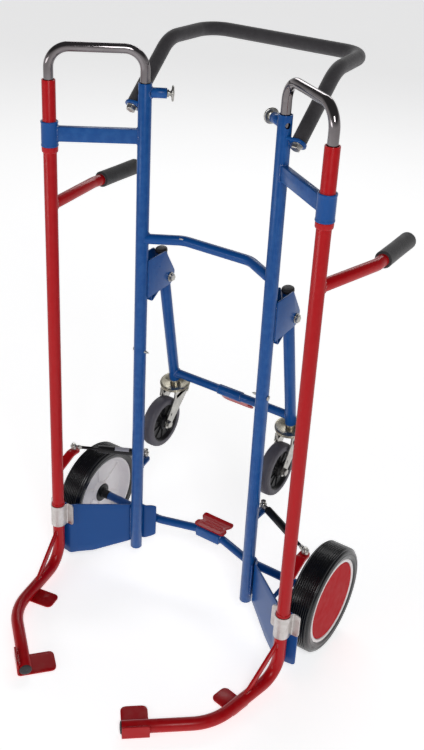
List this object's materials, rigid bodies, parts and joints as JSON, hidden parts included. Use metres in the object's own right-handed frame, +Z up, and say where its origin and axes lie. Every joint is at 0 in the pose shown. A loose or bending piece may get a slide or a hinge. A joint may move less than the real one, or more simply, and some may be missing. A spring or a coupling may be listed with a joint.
{
  "type": "hand truck",
  "caption": "Tyre-stack hand truck with swinging sprung gripper arms, telescoping top bows, a padded push handle and a folding rear castor support.",
  "frame": {"origin": "on the floor, at the middle of the parked truck's footprint", "axes": "+Z up, +Y towards the person who pushes, +X to the right seen from the load side"},
  "size_m": [0.7306, 0.7269, 1.3035],
  "materials": {
    "blue_paint": "glossy powder coat",
    "red_paint": "glossy powder coat",
    "black_grip": "matte foam",
    "black_plastic": "satin moulded",
    "black_paint": "satin lacquer",
    "zinc_steel": "zinc plated",
    "chrome": "polished",
    "tyre_rubber": "semi-matte ribbed",
    "castor_rubber": "matte",
    "rim_plastic": "satin moulded",
    "red_plastic": "satin"
  },
  "bodies": {
    "frame": {"right_upright": "blue_paint", "left_upright": "blue_paint", "upper_crossbar": "blue_paint", "axle_tube": "blue_paint", "lower_pedal": "red_paint", "right_base_plate": "blue_paint", "left_base_plate": "blue_paint", "right_top_arm": "blue_paint", "left_top_arm": "blue_paint", "right_castor_bracket": "blue_paint", "left_castor_bracket": "blue_paint", "right_pivot_strap": "zinc_steel", "left_pivot_strap": "zinc_steel", "push_handle_tube": "blue_paint", "push_handle_foam": "black_grip", "right_handle_bolt": "zinc_steel", "left_handle_bolt": "zinc_steel", "right_castor_pivot_bolt": "zinc_steel", "left_castor_pivot_bolt": "zinc_steel"},
    "right_arm": {"right_pivot_tube": "red_paint", "right_jaw_brace": "red_paint", "right_toe_plate": "red_paint", "right_tyre_tab": "red_paint", "right_jaw_end_cap": "black_plastic", "right_side_handle": "red_paint", "right_side_grip": "black_grip", "right_spring_lever": "red_paint"},
    "right_gas_spring_cylinder": {"right_gas_spring_body": "black_paint"},
    "right_gas_spring_piston": {"right_gas_spring_rod": "zinc_steel"},
    "right_bow": {"right_top_bow": "chrome"},
    "right_plunger": {"right_bow_plunger": "zinc_steel"},
    "right_wheel": {"right_tyre": "tyre_rubber", "right_wheel_rim": "rim_plastic", "right_hub_cap": "red_plastic"},
    "left_arm": {"left_pivot_tube": "red_paint", "left_jaw_brace": "red_paint", "left_toe_plate": "red_paint", "left_tyre_tab": "red_paint", "left_jaw_end_cap": "black_plastic", "left_side_handle": "red_paint", "left_side_grip": "black_grip", "left_spring_lever": "red_paint"},
    "left_gas_spring_cylinder": {"left_gas_spring_body": "black_paint"},
    "left_gas_spring_piston": {"left_gas_spring_rod": "zinc_steel"},
    "left_bow": {"left_top_bow": "chrome"},
    "left_plunger": {"left_bow_plunger": "zinc_steel"},
    "left_wheel": {"left_tyre": "tyre_rubber", "left_wheel_rim": "rim_plastic", "left_hub_cap": "red_plastic"},
    "castor_support": {"castor_frame": "blue_paint", "castor_pedal": "red_paint", "right_leg_cap": "black_plastic", "left_leg_cap": "black_plastic"},
    "right_castor_swivel": {"right_castor_fork": "zinc_steel"},
    "right_castor_roller": {"right_castor_wheel": "castor_rubber"},
    "left_castor_swivel": {"left_castor_fork": "zinc_steel"},
    "left_castor_roller": {"left_castor_wheel": "castor_rubber"}
  },
  "joints": [
    {"name": "right_arm_swing", "type": "hinge", "parent": "frame", "child": "right_arm", "pos_m": [0.3148, -0.0262, 0.6], "axis": [0, 0, 1], "range_deg": [0, 45], "stiffness_Nm_per_rad": 4, "springref_deg": -17.19},
    {"name": "right_spring_yaw", "type": "hinge", "parent": "frame", "child": "right_gas_spring_cylinder", "pos_m": [0.1647, 0.1228, 0.317], "axis": [0, 0, 1], "range_deg": [-15.01, 0.3]},
    {"name": "right_spring_stroke", "type": "slide", "parent": "right_gas_spring_cylinder", "child": "right_gas_spring_piston", "axis": [0.8798, -0.4753, 0], "range_m": [-0.02988, 0.0005]},
    {"name": "right_bow_lift", "type": "slide", "parent": "frame", "child": "right_bow", "axis": [0, 0, 1], "range_m": [0, 0.25]},
    {"name": "right_plunger_pull", "type": "slide", "parent": "frame", "child": "right_plunger", "axis": [-0.8387, 0.5446, 0], "range_m": [0, 0.008], "stiffness_N_per_m": 400, "springref_m": -0.003},
    {"name": "right_wheel_spin", "type": "hinge", "parent": "frame", "child": "right_wheel", "pos_m": [0.3257, 0.1404, 0.125], "axis": [1, 0, 0], "continuous": true},
    {"name": "left_arm_swing", "type": "hinge", "parent": "frame", "child": "left_arm", "pos_m": [-0.3148, -0.0262, 0.6], "axis": [0, 0, -1], "range_deg": [0, 45], "stiffness_Nm_per_rad": 4, "springref_deg": -17.19},
    {"name": "left_spring_yaw", "type": "hinge", "parent": "frame", "child": "left_gas_spring_cylinder", "pos_m": [-0.1647, 0.1228, 0.317], "axis": [0, 0, -1], "range_deg": [-15.01, 0.3]},
    {"name": "left_spring_stroke", "type": "slide", "parent": "left_gas_spring_cylinder", "child": "left_gas_spring_piston", "axis": [-0.8798, -0.4753, 0], "range_m": [-0.02988, 0.0005]},
    {"name": "left_bow_lift", "type": "slide", "parent": "frame", "child": "left_bow", "axis": [0, 0, 1], "range_m": [0, 0.25]},
    {"name": "left_plunger_pull", "type": "slide", "parent": "frame", "child": "left_plunger", "axis": [0.8387, 0.5446, 0], "range_m": [0, 0.008], "stiffness_N_per_m": 400, "springref_m": -0.003},
    {"name": "left_wheel_spin", "type": "hinge", "parent": "frame", "child": "left_wheel", "pos_m": [-0.3257, 0.1404, 0.125], "axis": [1, 0, 0], "continuous": true},
    {"name": "castor_support_fold", "type": "hinge", "parent": "frame", "child": "castor_support", "pos_m": [0, 0.1705, 0.774], "axis": [1, 0, 0], "range_deg": [0, 46]},
    {"name": "right_castor_swivel_turn", "type": "hinge", "parent": "castor_support", "child": "right_castor_swivel", "pos_m": [0.16, 0.22976, 0.47215], "axis": [0, -0.1946, 0.9809], "continuous": true},
    {"name": "right_castor_roll", "type": "hinge", "parent": "right_castor_swivel", "child": "right_castor_roller", "pos_m": [0.16, 0.17569, 0.38497], "axis": [1, 0, 0], "continuous": true},
    {"name": "left_castor_swivel_turn", "type": "hinge", "parent": "castor_support", "child": "left_castor_swivel", "pos_m": [-0.16, 0.22976, 0.47215], "axis": [0, -0.1946, 0.9809], "continuous": true},
    {"name": "left_castor_roll", "type": "hinge", "parent": "left_castor_swivel", "child": "left_castor_roller", "pos_m": [-0.16, 0.17569, 0.38497], "axis": [1, 0, 0], "continuous": true}
  ],
  "couplings": [
    {"joint": "right_spring_yaw", "follows": "right_arm_swing", "ratio": -0.32679},
    {"joint": "right_spring_stroke", "follows": "right_arm_swing", "m_per_rad": -0.037413},
    {"joint": "left_spring_yaw", "follows": "left_arm_swing", "ratio": -0.32679},
    {"joint": "left_spring_stroke", "follows": "left_arm_swing", "m_per_rad": -0.037413}
  ]
}
